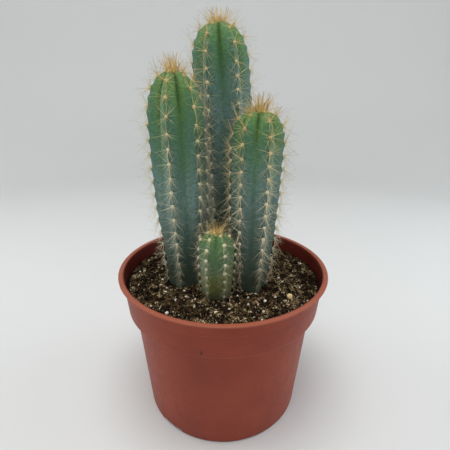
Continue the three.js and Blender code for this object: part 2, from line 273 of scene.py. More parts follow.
# Polypropylene, injection moulded and pigmented terracotta red: an even plastic with a low sheen, slightly
# mottled, paler on the rim's top from scuffs and a painted highlight, darkened inside with painted shade,
# and dusty from the mix under the rim.
POT_RED = "#8c351d"
POT_RED_PALE = "#943c23"
POT_RED_DEEP = "#83301a"
# Paler rim top: scuffs, and a painted highlight
RIM_SCUFFS_AND_HIGHLIGHT = "#9e5943"
# Painted shade on the inner wall above the mix
INSIDE_PAINTED_SHADE = "#500b04"
MIX_DUST = "#5f3d2b"
SMEAR = "#34190f"
SMEAR_PLACE = (-0.0141, -0.0776, 0.0985)
INNER_SLOPE = (COLLAR_TOP_RADIUS - COLLAR_BOTTOM_RADIUS) / (POT_HEIGHT - COLLAR_BOTTOM)
MID_WALL = COLLAR_BOTTOM_RADIUS - INNER_SLOPE * COLLAR_BOTTOM - WALL / 2
plastic, surface, put = new_material("polypropylene_terracotta_red_moulded")
place = put("ShaderNodeTexCoord").outputs["Object"]
height = put("ShaderNodeSeparateXYZ", place).outputs[2]
mottle = put(NOISE, Vector=place, Scale=32.0, Detail=3.0, Roughness=0.6)
tint = put("ShaderNodeValToRGB", mottle, stops=[(0.32, POT_RED_DEEP), (0.5, POT_RED), (0.7, POT_RED_PALE)])

# The rim's top is paler, scuffed and with a painted highlight; the inside above the mix has painted shade
on_rim = put(MAP_RANGE, height, 0.1226, 0.1238, 0.0, 0.85)
level = put(VECTOR_MATH, "MULTIPLY", place, (1.0, 1.0, 0.0))
radius = put(VECTOR_MATH, "LENGTH", level)
wall_line = put(MATH, "MULTIPLY_ADD", height, INNER_SLOPE, MID_WALL * MM)
outside = put(MATH, "SUBTRACT", radius, wall_line)
is_inside = put(MAP_RANGE, outside, 0.0001, 0.0005, 1.0, 0.0)
above_mix = put(MAP_RANGE, height, 0.1, 0.104, 0.0, 1.0)
below_edge = put(MAP_RANGE, height, 0.1205, 0.1236, 0.95, 0.7)
inner_band = put(MATH, "MULTIPLY", above_mix, below_edge)

# Dust of the mix just under the rim, and one short dark smear on the collar
near_rim = put(MAP_RANGE, height, 0.112, 0.1225, 0.0, 0.4)
dusting = put(NOISE, Vector=place, Scale=240.0, Detail=5.0, Roughness=0.7)
specks = put(MAP_RANGE, dusting, 0.55, 0.72, 0.0, 1.0)
from_smear = put(VECTOR_MATH, "SUBTRACT", place, SMEAR_PLACE)
squeezed = put(VECTOR_MATH, "MULTIPLY", from_smear, (1.0, 0.5, 0.35))
away = put(VECTOR_MATH, "LENGTH", squeezed)
smear = put(MAP_RANGE, away, 0.0005, 0.0009, 0.9, 0.0)
layers = [
    (on_rim, 1.0, RIM_SCUFFS_AND_HIGHLIGHT), (is_inside, inner_band, INSIDE_PAINTED_SHADE), (near_rim, specks, MIX_DUST),
    (smear, 1.0, SMEAR),
]
rough = put(MAP_RANGE, dusting, 0.3, 0.7, 0.42, 0.56)
grain = put(NOISE, Vector=place, Scale=1600.0, Detail=2.0)
both = put(MATH, "ADD", grain, mottle)
bump = put("ShaderNodeBump", Strength=0.1, Distance=0.0002, Height=both)
fill(surface, {"Base Color": overlaid(put, tint, layers), "Roughness": rough, "Normal": bump})
fill(surface, {"IOR": 1.49, "Specular IOR Level": 0.3})
pot.data.materials.clear()
pot.data.materials.append(plastic)
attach(pot, "root")
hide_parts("pot")

# The columns
# Each is one grown stem with six ribs, deeply grooved at the crown and nearly smooth near the foot. A rib
# swells under each of its areoles and is creased above it, and the areoles of neighbouring ribs alternate.
# The stem's end is rooted in the mix.
SOIL_LEVEL = 112.6
BURIED = 26.0
STEM_END_SHARE = 0.55
RIBS = 6
POINTS_PER_RIB = 30
ROWS_PER_STEP = 4
EDGE_ROUNDNESS = 0.17
CROWN_DEPTH = 0.42
SLIT_FADE = 28.0
CROWDING = 1.6
SWELLING = 0.55
UNEVENNESS = 0.35
CAP_HEIGHT = 1.1
CAP_ROWS = 6
STEM_END_TAPER = 12
STEM_END_ROUNDING = 1.2
STEM_END_BLUNT = 0.7
STEM_LAST_ROW = 5
SWELLS_BELOW = 9
SLITS_BELOW = 3
CROWDED_WITHIN = 25.0
CROWDED_SHARE = 0.5
GROWN_ABOVE = 60.0
FIRST_AREOLE = 2.0
CORK_AND_SHADE_MOST = 1.0
BLOOM_GROWS = 60.0
SWELL_CURVE = [(0.0, 0.85), (0.12, 1.0), (0.45, 0.45), (0.8, 0.12), (0.9, 0.0), (1.0, 0.85)]
COLUMNS = [
    SimpleNamespace(
        name="column_left", foot=(-30, -6), top=(-34.9, -6), bend=1,
        apex=273, first_rib=-12, fade=40, slit=0.5,
        girth=[(84, 13.5), (113, 14.6), (130, 15.1), (150, 16.7), (176, 19.3), (210, 20.2), (273, 20)],
        dome=38, bluntness=2.4, grooves=0.18, spacing=9.9, foot_spacing=7.2, spines=9.5,
        green=100, bloom_from=42, bloom=0.5, cork=85, golden=45, stout=1.0,
    ),
    SimpleNamespace(
        name="column_tall", foot=(3, 25), top=(-4.7, 27), bend=1.9,
        apex=307, first_rib=-89, fade=40, slit=0.6,
        girth=[(84, 16), (113, 17), (150, 19.2), (200, 21.8), (240, 22.8), (270, 21.7), (307, 21)],
        dome=30, bluntness=2.4, grooves=0.18, spacing=9.4, foot_spacing=7.4, spines=9.5,
        green=62, bloom_from=20, bloom=0.24, cork=145, golden=45, stout=1.0,
    ),
    SimpleNamespace(
        name="column_right", foot=(21.4, -15), top=(24.2, -13), bend=1,
        apex=248, first_rib=-98, fade=22, slit=0.35,
        girth=[(84, 11.5), (113, 12), (129, 13.8), (144, 15.3), (169, 17.1), (222, 18.4), (248, 18.2)],
        dome=24, bluntness=2.6, grooves=0.16, spacing=8.8, foot_spacing=7, spines=9.8,
        green=62, bloom_from=10, bloom=0.42, cork=110, golden=45, stout=1.1,
    ),
    SimpleNamespace(
        name="column_small", foot=(-4.9, -30), top=(-4.9, -30), bend=1,
        apex=165.5, first_rib=-92, fade=12, slit=0.0,
        girth=[(84, 10.2), (113, 11), (135, 12.6), (153, 13.3), (165.5, 12.9)],
        dome=17, bluntness=2.6, grooves=0.13, spacing=7.6, foot_spacing=6.2, spines=7.5,
        green=70, bloom_from=10, bloom=0.24, cork=10, golden=8, stout=0.7,
    ),
]


def smooth(share):
    """A share held between 0 and 1, eased at both ends."""
    held = min(1.0, max(0.0, share))
    return held * held * (3 - 2 * held)


def edge_radius(column, height):
    """The radius over a rib's edge: a smooth curve through the girth's points, closed by the crown's dome."""
    girth = column.girth
    last = len(girth) - 2
    k = min(last, max(0, sum(1 for z, _ in girth if z <= height) - 1))

    def slope(i):
        low, high = girth[max(0, i - 1)], girth[min(last + 1, i + 1)]
        return (high[1] - low[1]) / (high[0] - low[0])

    span = girth[k + 1][0] - girth[k][0]
    t = (height - girth[k][0]) / span
    ease = t * t * (3 - 2 * t)
    bend = t * (1 - t) * ((1 - t) * slope(k) - t * slope(k + 1)) * span
    radius = girth[k][1] * (1 - ease) + girth[k + 1][1] * ease + bend
    up = max(0.0, (height - (column.apex - column.dome)) / column.dome)
    return radius * max(0.0, 1 - up ** column.bluntness) ** (1 / column.bluntness)


def groove_depth(column, height):
    """How deep the grooves are, as a share of the radius: deep at the crown and nearly flat at the foot."""
    below = column.apex - height
    depth = column.grooves + (CROWN_DEPTH - column.grooves) * math.exp(-below / column.fade)
    return depth * smooth((height - (SOIL_LEVEL - BURIED)) / BURIED)


def axis_at(column, height):
    """Where a column's axis is at a height: it leans, and may bend, from its foot to its top."""
    share = (max(0.0, height - SOIL_LEVEL) / (column.apex - SOIL_LEVEL)) ** column.bend
    return Vector((*Vector(column.foot).lerp(Vector(column.top), share), height))


def half_steps(column):
    """Heights down a column, half an areole's spacing apart: closer at the crown and towards the foot."""
    heights = []
    height = column.apex - CAP_HEIGHT
    while height > SOIL_LEVEL + FIRST_AREOLE:
        heights.append(height)
        grown = smooth((height - SOIL_LEVEL) / GROWN_ABOVE)
        crowded = CROWDED_SHARE + (1 - CROWDED_SHARE) * smooth((column.apex - height) / CROWDED_WITHIN)
        spacing = column.foot_spacing + (column.spacing - column.foot_spacing) * grown
        height -= spacing * crowded / 2
    return heights


def loose_points(name, places, facts):
    """A mesh of loose points, with the facts of each as its attributes: numbers or vectors."""
    mesh = bpy.data.meshes.new(name)
    mesh.from_pydata(places, [], [])
    for fact, first in facts[0].items():
        values = [own[fact] for own in facts]
        kind, field = "FLOAT", "value"
        if isinstance(first, Vector):
            values = [part for value in values for part in value]
            kind, field = "FLOAT_VECTOR", "vector"
        mesh.attributes.new(fact, kind, "POINT").data.foreach_set(field, values)
    return mesh


def growth_line(column):
    """The rows of a column from its apex to its stem's end, as loose points with what each row needs."""
    cap = [(k / CAP_ROWS) ** 2 for k in range(CAP_ROWS)]
    rows = [(column.apex - CAP_HEIGHT * share, share - 1) for share in cap]
    steps = half_steps(column)
    for step, (high, low) in enumerate(zip(steps, steps[1:])):
        shares = [k / ROWS_PER_STEP for k in range(ROWS_PER_STEP)]
        rows += [(high + (low - high) * share, step + share) for share in shares]
    foot_half = column.foot_spacing / 2
    bottom = SOIL_LEVEL - BURIED
    height = steps[-1]
    while height > bottom + STEM_LAST_ROW:
        rows.append((height, len(steps) - 1 + (steps[-1] - height) / foot_half))
        height -= foot_half / 2
    facts = []
    for height, step in rows:
        below = column.apex - height
        narrowed = 1 - (1 - STEM_END_SHARE) * smooth((bottom + STEM_END_TAPER - height) / STEM_END_TAPER)
        fade = smooth(below / SWELLS_BELOW) * smooth((height - bottom) / BURIED)
        slit = column.slit * math.exp(-below / SLIT_FADE) * smooth(below / SLITS_BELOW) * MM
        facts.append({
            "radius": edge_radius(column, height) * narrowed * MM,
            "depth": groove_depth(column, height),
            "step": step,
            "swell": SWELLING * fade * MM,
            "slit": slit,
            "ripe": min(1.0, below / column.green),
            "bloom": column.bloom * smooth((below - column.bloom_from) / BLOOM_GROWS),
            "cork": CORK_AND_SHADE_MOST * smooth(1 - (height - SOIL_LEVEL) / column.cork),
        })
    last = facts[-1]
    end = dict.fromkeys(last, 0.0) | {"step": last["step"], "ripe": 1.0, "cork": CORK_AND_SHADE_MOST}
    facts += [end | {"radius": last["radius"] * STEM_END_BLUNT}, end]
    heights = [height for height, _ in rows] + [bottom + STEM_END_ROUNDING, bottom]
    places = [axis_at(column, height) * MM for height in heights]
    return loose_points(column.name + "_line", places, facts)


# The kinds of node that trees add most, and a map range eased at both ends
READ = "GeometryNodeInputNamedAttribute"
STORE = "GeometryNodeStoreNamedAttribute"
RANDOM = "FunctionNodeRandomValue"
SMOOTHLY = {"interpolation_type": "SMOOTHSTEP"}


def new_tree(name, takes, gives):
    """A node tree with its named inputs and its output, the way to add a node to it, and what it is given."""
    tree = bpy.data.node_groups.new(name, "GeometryNodeTree")
    for side, sockets in (("INPUT", takes), ("OUTPUT", {gives: "Geometry"})):
        for socket, kind in sockets.items():
            tree.interface.new_socket(socket, in_out=side, socket_type="NodeSocket" + kind)
    put = partial(add, tree)
    return tree, put, put("NodeGroupInput").outputs


def end_tree(put, made, material):
    """Ends a tree: what was made, as real geometry with its material."""
    real = put("GeometryNodeRealizeInstances", made)
    put("NodeGroupOutput", put("GeometryNodeSetMaterial", real, Material=material))


def ribbed_column_tree():
    """Wraps a grid round a growth line and draws it into ribs, grooves, swellings and creases."""
    takes = {
        "Growth line": "Geometry", "Ribs": "Int", "Points around": "Int", "First rib": "Float",
        "Edge roundness": "Float", "Crowding at grooves": "Float", "Unevenness": "Float", "Skin": "Material",
    }
    tree, put, given = new_tree("ribbed_column", takes, "Column")
    rows = put("GeometryNodeAttributeDomainSize", given["Growth line"]).outputs[0]
    wide = put(MATH, "ADD", given["Points around"], 1.0)
    grid = put("GeometryNodeMeshGrid", 1.0, 1.0, wide, rows)
    corner = put("GeometryNodeInputPosition")
    shift = put(VECTOR_MATH, "ADD", corner, (0.5, 0.5, 0))
    split = put("ShaderNodeSeparateXYZ", shift).outputs
    last_row = put(MATH, "SUBTRACT", rows, 1.0)
    row = put(MATH, "MULTIPLY_ADD", split[1], last_row, 0.5)

    read = {}
    for name in ("position", "radius", "depth", "step", "swell", "slit", "ripe", "bloom", "cork"):
        kind = "FLOAT_VECTOR" if name == "position" else "FLOAT"
        value = put(READ, Name=name, data_type=kind)
        inputs = {0: given["Growth line"], 1: value, 2: row}
        read[name] = put("GeometryNodeSampleIndex", inputs, data_type=kind)

    # across is 0 on a rib's edge and 1 in the groove, with the points crowded towards the groove
    along_ribs = put(MATH, "MULTIPLY", split[0], given["Ribs"])
    rib = put(MATH, "ROUND", along_ribs)
    aside = put(MATH, "SUBTRACT", along_ribs, rib)
    apart = put(MATH, "ABSOLUTE", aside)
    to_groove = put(MATH, "MULTIPLY_ADD", apart, -2.0, 1.0)
    held = put(MATH, "MAXIMUM", to_groove, 0.0)
    crowded = put(MATH, "POWER", held, given["Crowding at grooves"])
    across = put(MATH, "SUBTRACT", 1.0, crowded)
    side = put(MATH, "SIGN", aside)
    half_rib = put(MATH, "MULTIPLY", across, side)
    ribs_round = put(MATH, "MULTIPLY_ADD", half_rib, 0.5, rib)
    full_turn = put(MATH, "DIVIDE", ribs_round, given["Ribs"])

    # The groove's section: sqrt(across^2 + e^2) - e, brought to 1 in the groove
    e = given["Edge roundness"]
    e_squared = put(MATH, "MULTIPLY", e, e)
    slant = put(MATH, "MULTIPLY_ADD", across, across, e_squared)
    slant_root = put(MATH, "SQRT", slant)
    most = put(MATH, "ADD", e_squared, 1.0)
    most_root = put(MATH, "SQRT", most)
    groove = put(MAP_RANGE, slant_root, e, most_root, 0.0, 1.0)

    # Where the grooves are shallow their bottoms are round: a quarter of a sine instead of a crease
    quarter = put(MATH, "MULTIPLY", groove, math.pi / 2)
    round_groove = put(MATH, "SINE", quarter)
    openness = put(MAP_RANGE, read["depth"], 0.2, 0.34, 1.0, 0.0)
    shape = put("ShaderNodeMix", openness, {2: groove, 3: round_groove})
    dip = put(MATH, "MULTIPLY", shape, read["depth"])
    left = put(MATH, "SUBTRACT", 1.0, dip)
    open_shape = put(MATH, "MULTIPLY", left, read["radius"])
    in_slit = put(MAP_RANGE, across, 0.82, 1.0, 0.0, 1.0, **SMOOTHLY)
    slit = put(MATH, "MULTIPLY", in_slit, read["slit"])
    ribbed = put(MATH, "SUBTRACT", open_shape, slit)

    # phase runs from 0 at an areole to 1 at the next one below, and bends down away from the rib's edge
    turn_step = put(MATH, "ADD", read["step"], rib)
    half_step = put(MATH, "MULTIPLY", turn_step, 0.5)
    bent = put(MATH, "MULTIPLY_ADD", across, -0.3, half_step)
    phase = put(MATH, "FRACT", bent)
    swell_curve = put("ShaderNodeFloatCurve", {1: phase})
    line = swell_curve.mapping.curves[0]
    for place, value in SWELL_CURVE[1:-1]:
        line.points.new(place, value)
    line.points[0].location, line.points[-1].location = SWELL_CURVE[0], SWELL_CURVE[-1]
    swell_curve.mapping.update()
    signed = put(MAP_RANGE, swell_curve, 0.0, 1.0, -1.0, 1.0)
    near_edge = put(MAP_RANGE, across, 0.0, 0.6, 1.0, 0.0, **SMOOTHLY)
    swell = put(MATH, "MULTIPLY", signed, near_edge)
    radius = put(MATH, "MULTIPLY_ADD", swell, read["swell"], ribbed)

    angle = put(MATH, "MULTIPLY_ADD", full_turn, 2 * math.pi, given["First rib"])
    reach = put("ShaderNodeCombineXYZ", radius)
    out = put("ShaderNodeVectorRotate", Vector=reach, Angle=angle, rotation_type="Z_AXIS")
    place = put(VECTOR_MATH, "ADD", read["position"], out)
    kept = grid
    stored = {
        "across": across, "phase": phase, "ripe": read["ripe"], "bloom": read["bloom"],
        "cork": read["cork"], "deep": read["depth"], "wide": read["radius"],
    }
    for name, value in stored.items():
        kept = put(STORE, kept, Name=name, Value=value)
    wrapped = put("GeometryNodeSetPosition", kept, Position=place)
    closed = put("GeometryNodeMergeByDistance", wrapped, Distance=2e-6)

    # Slow unevenness all over, which fades out at the apex
    wander = put(NOISE, Scale=55.0, Detail=1.0)
    swing = put(MATH, "SUBTRACT", wander, 0.5)
    wide = put(READ, Name="wide")
    fade = put(MAP_RANGE, wide, 0.003, 0.012, 0.0, 2.0)
    much = put(MATH, "MULTIPLY", swing, fade)
    size = put(MATH, "MULTIPLY", much, given["Unevenness"])
    normal = put("GeometryNodeInputNormal")
    way = put(VECTOR_MATH, "SCALE", normal, Scale=size)
    uneven = put("GeometryNodeSetPosition", closed, Offset=way)
    soft = put("GeometryNodeSetShadeSmooth", uneven)
    end_tree(put, soft, given["Skin"])
    return tree


def grown(name, tree, start, sizes):
    """Runs a tree on a start mesh and keeps the result as a plain mesh, with no modifier left on it."""
    piece = shown(name, start)
    maker = piece.modifiers.new("grow", "NODES")
    maker.node_group = tree
    for item in tree.interface.items_tree:
        if item.item_type == "SOCKET" and item.in_out == "INPUT" and item.name in sizes:
            maker[item.identifier] = sizes[item.name]
    view = bpy.context.evaluated_depsgraph_get()
    plain = bpy.data.meshes.new_from_object(piece.evaluated_get(view))
    piece.modifiers.remove(maker)
    piece.data = plain
    return piece


# Waxy plant skin: green where it is young and blue-green under a pale bloom further down. The green reaches
# further down in the grooves, which are darkened with painted shade while they are deep. The ribs' edges are
# paler, partly in their own colour and partly with a painted highlight, with painted shade in the crease over
# each areole, and a few brown marks.
# Near the mix: a little cork, and painted shade
CORK_AND_SHADE = "#303c2a"
SKIN_MARK = "#4d4a30"
WAXY_SHEEN = "#cfe0dc"


def cactus_skin(name, growth_stops, groove_growth, shade_and_pore_colour, edge_colour_and_highlight, bloom_colour):
    """The skin: growth stops colour it by age, and the groove growth makes its grooves look younger."""
    facts = ("ripe", "across", "phase", "deep", "bloom", "cork")
    skin, surface, put, ripe, across, phase, deep, bloom, cork = new_material(name, *facts)
    place = put("ShaderNodeTexCoord").outputs["Object"]
    patches = put(NOISE, Vector=place, Scale=70.0, Detail=4.0, Roughness=0.6)
    shifted = put(MAP_RANGE, patches, 0.3, 0.7, -0.1, 0.1)
    valley = put(MAP_RANGE, across, 0.35, 1.0, 0.0, groove_growth)
    uneven = put(MATH, "ADD", ripe, shifted)
    growth = put(MATH, "ADD", uneven, valley, use_clamp=True)
    tint = put("ShaderNodeValToRGB", growth, stops=growth_stops)

    # Painted shade in the grooves, strongest where they are deep
    in_groove = put(MAP_RANGE, across, 0.5, 1.0, 0.0, 0.6, **SMOOTHLY)
    groove_shade = put(MAP_RANGE, deep, 0.2, 0.36, 0.12, 1.0)
    # The ribs' edges are paler: partly their own colour, partly a painted highlight
    on_edge = put(MAP_RANGE, across, 0.0, 0.13, 0.4, 0.0, **SMOOTHLY)
    edge_fading = put(MAP_RANGE, ripe, 0.0, 0.7, 1.0, 0.15)

    # The bloom lies in fine clouds drawn out across the ribs, and in pale streaks down them
    banded = put("ShaderNodeMapping", place, Scale=(1.0, 1.0, 1.9))
    cloud = put(NOISE, Vector=banded, Scale=230.0, Detail=6.0, Roughness=0.7)
    drawn_down = put("ShaderNodeMapping", place, Scale=(1.0, 1.0, 0.1))
    streaks = put(NOISE, Vector=drawn_down, Scale=170.0, Detail=3.0)
    rubbed = put("ShaderNodeMix", 0.5, {2: cloud, 3: streaks})
    cloud_share = put(MAP_RANGE, rubbed, 0.4, 0.62, 0.1, 1.0)

    # A line of painted shade in the crease over each areole
    crease = put(MAP_RANGE, phase, 0.8, 0.9, 0.0, 1.0, **SMOOTHLY)
    crease_end = put(MAP_RANGE, phase, 0.9, 0.98, 1.0, 0.0, **SMOOTHLY)
    crease_reach = put(MAP_RANGE, across, 0.05, 0.75, 0.75, 0.0)
    line = put(MATH, "MULTIPLY", crease, crease_end)
    fleck = put(NOISE, Vector=place, Scale=520.0, Detail=2.0)
    fleck_share = put(MAP_RANGE, fleck, 0.7, 0.76, 0.0, 0.7)
    fleck_reach = put(MAP_RANGE, across, 0.1, 0.4, 1.0, 0.1)
    pores = put(NOISE, Vector=place, Scale=480.0, Detail=4.0, Roughness=0.65)
    pore_share = put(MAP_RANGE, pores, 0.42, 0.68, 0.0, 0.45)

    # Near the mix the skin is old, a little corky and darkened with painted shade
    patchy = put(MAP_RANGE, patches, 0.35, 0.65, 0.75, 1.0)
    layers = [
        (in_groove, groove_shade, shade_and_pore_colour), (on_edge, edge_fading, edge_colour_and_highlight),
        (cloud_share, bloom, bloom_colour), (line, crease_reach, shade_and_pore_colour),
        (fleck_share, fleck_reach, SKIN_MARK), (pore_share, 1.0, shade_and_pore_colour), (cork, patchy, CORK_AND_SHADE),
    ]
    coloured = overlaid(put, tint, layers)
    rough = put(MAP_RANGE, cloud, 0.3, 0.7, 0.46, 0.62)

    # Fine wrinkles across the ribs
    squashed = put("ShaderNodeMapping", place, Scale=(1.0, 1.0, 3.0))
    wrinkles = put(NOISE, Vector=squashed, Scale=300.0, Detail=3.0)
    bump = put("ShaderNodeBump", Strength=0.6, Distance=0.001, Height=wrinkles)
    fill(surface, {"Base Color": coloured, "Roughness": rough, "Normal": bump, "IOR": 1.42})
    fill(surface, {"Sheen Weight": 0.14, "Sheen Roughness": 0.5, "Sheen Tint": linear(WAXY_SHEEN)})
    return skin


grown_skin = cactus_skin(
    "waxy_cactus_skin_with_blue_bloom",
    [(0.0, "#628b46"), (0.12, "#548250"), (0.34, "#507b5c"), (0.6, "#53796d"), (1.0, "#5a7c7a")],
    -0.3,
    "#2a4c26", "#8c9c62", "#a4b7b1",
)
young_skin = cactus_skin(
    "waxy_young_cactus_skin",
    [(0.0, "#577c3a"), (0.12, "#5b804f"), (0.34, "#627c5a"), (0.5, "#747731"), (0.78, "#525420")],
    0.0,
    "#254a2a", "#a0b78e", "#b4c9ba",
)
wrap = ribbed_column_tree()
bodies = {}
for column in COLUMNS:
    name = column.name
    young = name == "column_small"
    sizes = {
        "Ribs": RIBS, "Points around": RIBS * POINTS_PER_RIB, "First rib": bearing(column.first_rib),
        "Edge roundness": EDGE_ROUNDNESS, "Crowding at grooves": CROWDING,
        "Unevenness": UNEVENNESS * MM, "Skin": young_skin if young else grown_skin,
    }
    body = grown(name + "_body", wrap, growth_line(column), sizes)
    shape = bmesh.new()
    shape.from_mesh(body.data)
    bmesh.ops.recalc_face_normals(shape, faces=shape.faces)
    shape.to_mesh(body.data)
    shape.free()
    bodies[name] = body
    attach(body, "root")
    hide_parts(name)

# The areoles
# Small cushions of cream felt on the rib edges, out of which the spines grow. The youngest crowd together at
# the crown in woolly tufts; the small column's are the whitest and widest for its size.
FELT_WIDTH = 1.12
YOUNG_FELT_WIDTH = 1.35
FELT_HEIGHT = 1.25
FELT_SEED = 20
DUSTY_UP_TO = 45.0
DUSTY_SHRINKS = 0.45
DUST = "#6e5c40"
WOOL_RINGS = (0.3, 0.6)
WOOL_LEANS = 0.09
PROBE_FROM_SIDE = 45
PROBE_FROM_ABOVE = 20


def areole_points(column, crown):
    """The areoles as loose points on the finished skin, each with its way out and up, age, size and dust."""
    body = bodies[column.name].data
    skin = BVHTree.FromPolygons([v.co for v in body.vertices], [f.vertices for f in body.polygons])
    first = bearing(column.first_rib)
    spots = []
    if crown:
        cap = edge_radius(column, column.apex - CAP_HEIGHT)
        turns = [(k, first + math.pi * k / RIBS) for k in range(2 * RIBS)]
        spots = [(column.apex, 0.0, 0.0)]
        spots += [(column.apex, angle, cap * WOOL_RINGS[k % 2]) for k, angle in turns]
    else:
        for step, height in enumerate(half_steps(column)):
            ribs = [rib for rib in range(RIBS) if step > 0 and (step + rib) % 2 == 0]
            spots += [(height, first + rib * 2 * math.pi / RIBS, None) for rib in ribs]
    places, facts = [], []
    for height, angle, reach in spots:
        level = Vector((math.cos(angle), math.sin(angle), 0))
        if reach is None:
            slope = edge_radius(column, min(height + 0.5, column.apex)) - edge_radius(column, height - 0.5)
            out = (level - Vector((0, 0, slope))).normalized()
            from_point, way = axis_at(column, height) + out * PROBE_FROM_SIDE, -out
        else:
            out = (level * reach * WOOL_LEANS + Vector((0, 0, 1))).normalized()
            from_point = axis_at(column, height) + level * reach + Vector((0, 0, PROBE_FROM_ABOVE))
            way = Vector((0, 0, -1))
        places.append(skin.ray_cast(from_point * MM, way)[0])
        near_mix = 1 - smooth((height - SOIL_LEVEL) / DUSTY_UP_TO)
        facts.append({
            "outward": out,
            "upward": out.cross(Vector((0, 0, 1)).cross(level)),
            "age": 1 - math.exp(-(column.apex - height) / column.golden),
            "size": 1 - DUSTY_SHRINKS * near_mix,
            "dust": near_mix,
        })
    return loose_points(column.name + "_areoles", places, facts)


def felt_tree():
    """Sets a small uneven cushion on each areole."""
    takes = {"Areoles": "Geometry", "Width": "Float", "Height": "Float", "Seed": "Int", "Felt": "Material"}
    tree, put, given = new_tree("areole_felt", takes, "Pads")
    points = put("GeometryNodeMeshToPoints", given["Areoles"])
    ball = put("GeometryNodeMeshUVSphere", Segments=8, Rings=5, Radius=1.0)
    outward = put(READ, Name="outward", data_type="FLOAT_VECTOR")
    size = put(READ, Name="size")
    facing = put("FunctionNodeAlignRotationToVector", Vector=outward, axis="Z")
    chance = put(RANDOM, {2: 0.85, 3: 1.15, 8: given["Seed"]})
    own = put(MATH, "MULTIPLY", chance, size)
    flat = put("ShaderNodeCombineXYZ", given["Width"], given["Width"], given["Height"])
    scale = put(VECTOR_MATH, "SCALE", flat, Scale=own)
    set_on = put("GeometryNodeInstanceOnPoints", Points=points, Instance=ball, Rotation=facing, Scale=scale)
    real = put("GeometryNodeRealizeInstances", set_on)
    wander = put(NOISE, Scale=900.0, Detail=1.0)
    swing = put(MAP_RANGE, wander, 0.0, 1.0, -0.0005, 0.0005)
    normal = put("GeometryNodeInputNormal")
    way = put(VECTOR_MATH, "SCALE", normal, Scale=swing)
    woolly = put("GeometryNodeSetPosition", real, Offset=way)
    soft = put("GeometryNodeSetShadeSmooth", woolly)
    end_tree(put, soft, given["Felt"])
    return tree


# Short matted plant felt, dull and finely fibrous: golden on new growth, cream on old and white on the small
# column.
FELT_SHADE = "#a8905c"
felt, surface, put, age, dust = new_material("areole_felt_cream", "age", "dust")
place = put("ShaderNodeTexCoord").outputs["Object"]
fibres = put(NOISE, Vector=place, Scale=1400.0, Detail=4.0, Roughness=0.7)
whitened = [(0.0, "#c4a052"), (0.25, "#d6bf7c"), (0.6, "#eaddb2"), (1.0, "#f6f0d8")]
tint = put("ShaderNodeValToRGB", age, stops=whitened)
matted = put(MAP_RANGE, fibres, 0.3, 0.6, 0.25, 0.0)
coloured = overlaid(put, tint, [(matted, 1.0, FELT_SHADE), (dust, 0.75, DUST)])
bump = put("ShaderNodeBump", Strength=0.6, Distance=0.0004, Height=fibres)
fill(surface, {"Base Color": coloured, "Normal": bump, "Roughness": 0.95, "Sheen Weight": 0.5})

make_felt = felt_tree()
for seed, column in enumerate(COLUMNS):
    width = YOUNG_FELT_WIDTH if column.name == "column_small" else FELT_WIDTH
    for kind, crown in (("areole_felt", False), ("crown_wool", True)):
        sizes = {"Width": width * MM, "Height": FELT_HEIGHT * MM, "Seed": FELT_SEED + seed, "Felt": felt}
        pads = grown(column.name + "_" + kind, make_felt, areole_points(column, crown), sizes)
        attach(pads, "root")

# The spines
# Each areole carries a ring of slim radial spines and a few longer central ones; the crown carries a dense
# upright tuft. They are stiff, straight needles of dry tissue, golden brown when new and straw-grey later,
# with their roots in the felt.
TIP_SHARE = 0.35
ROOT_DEPTH = 0.5
DROOP = -0.22
HANG = 1.4
GROUND = 114.5
RAY_STARTS = 0.8
SPINE_SEED = 100


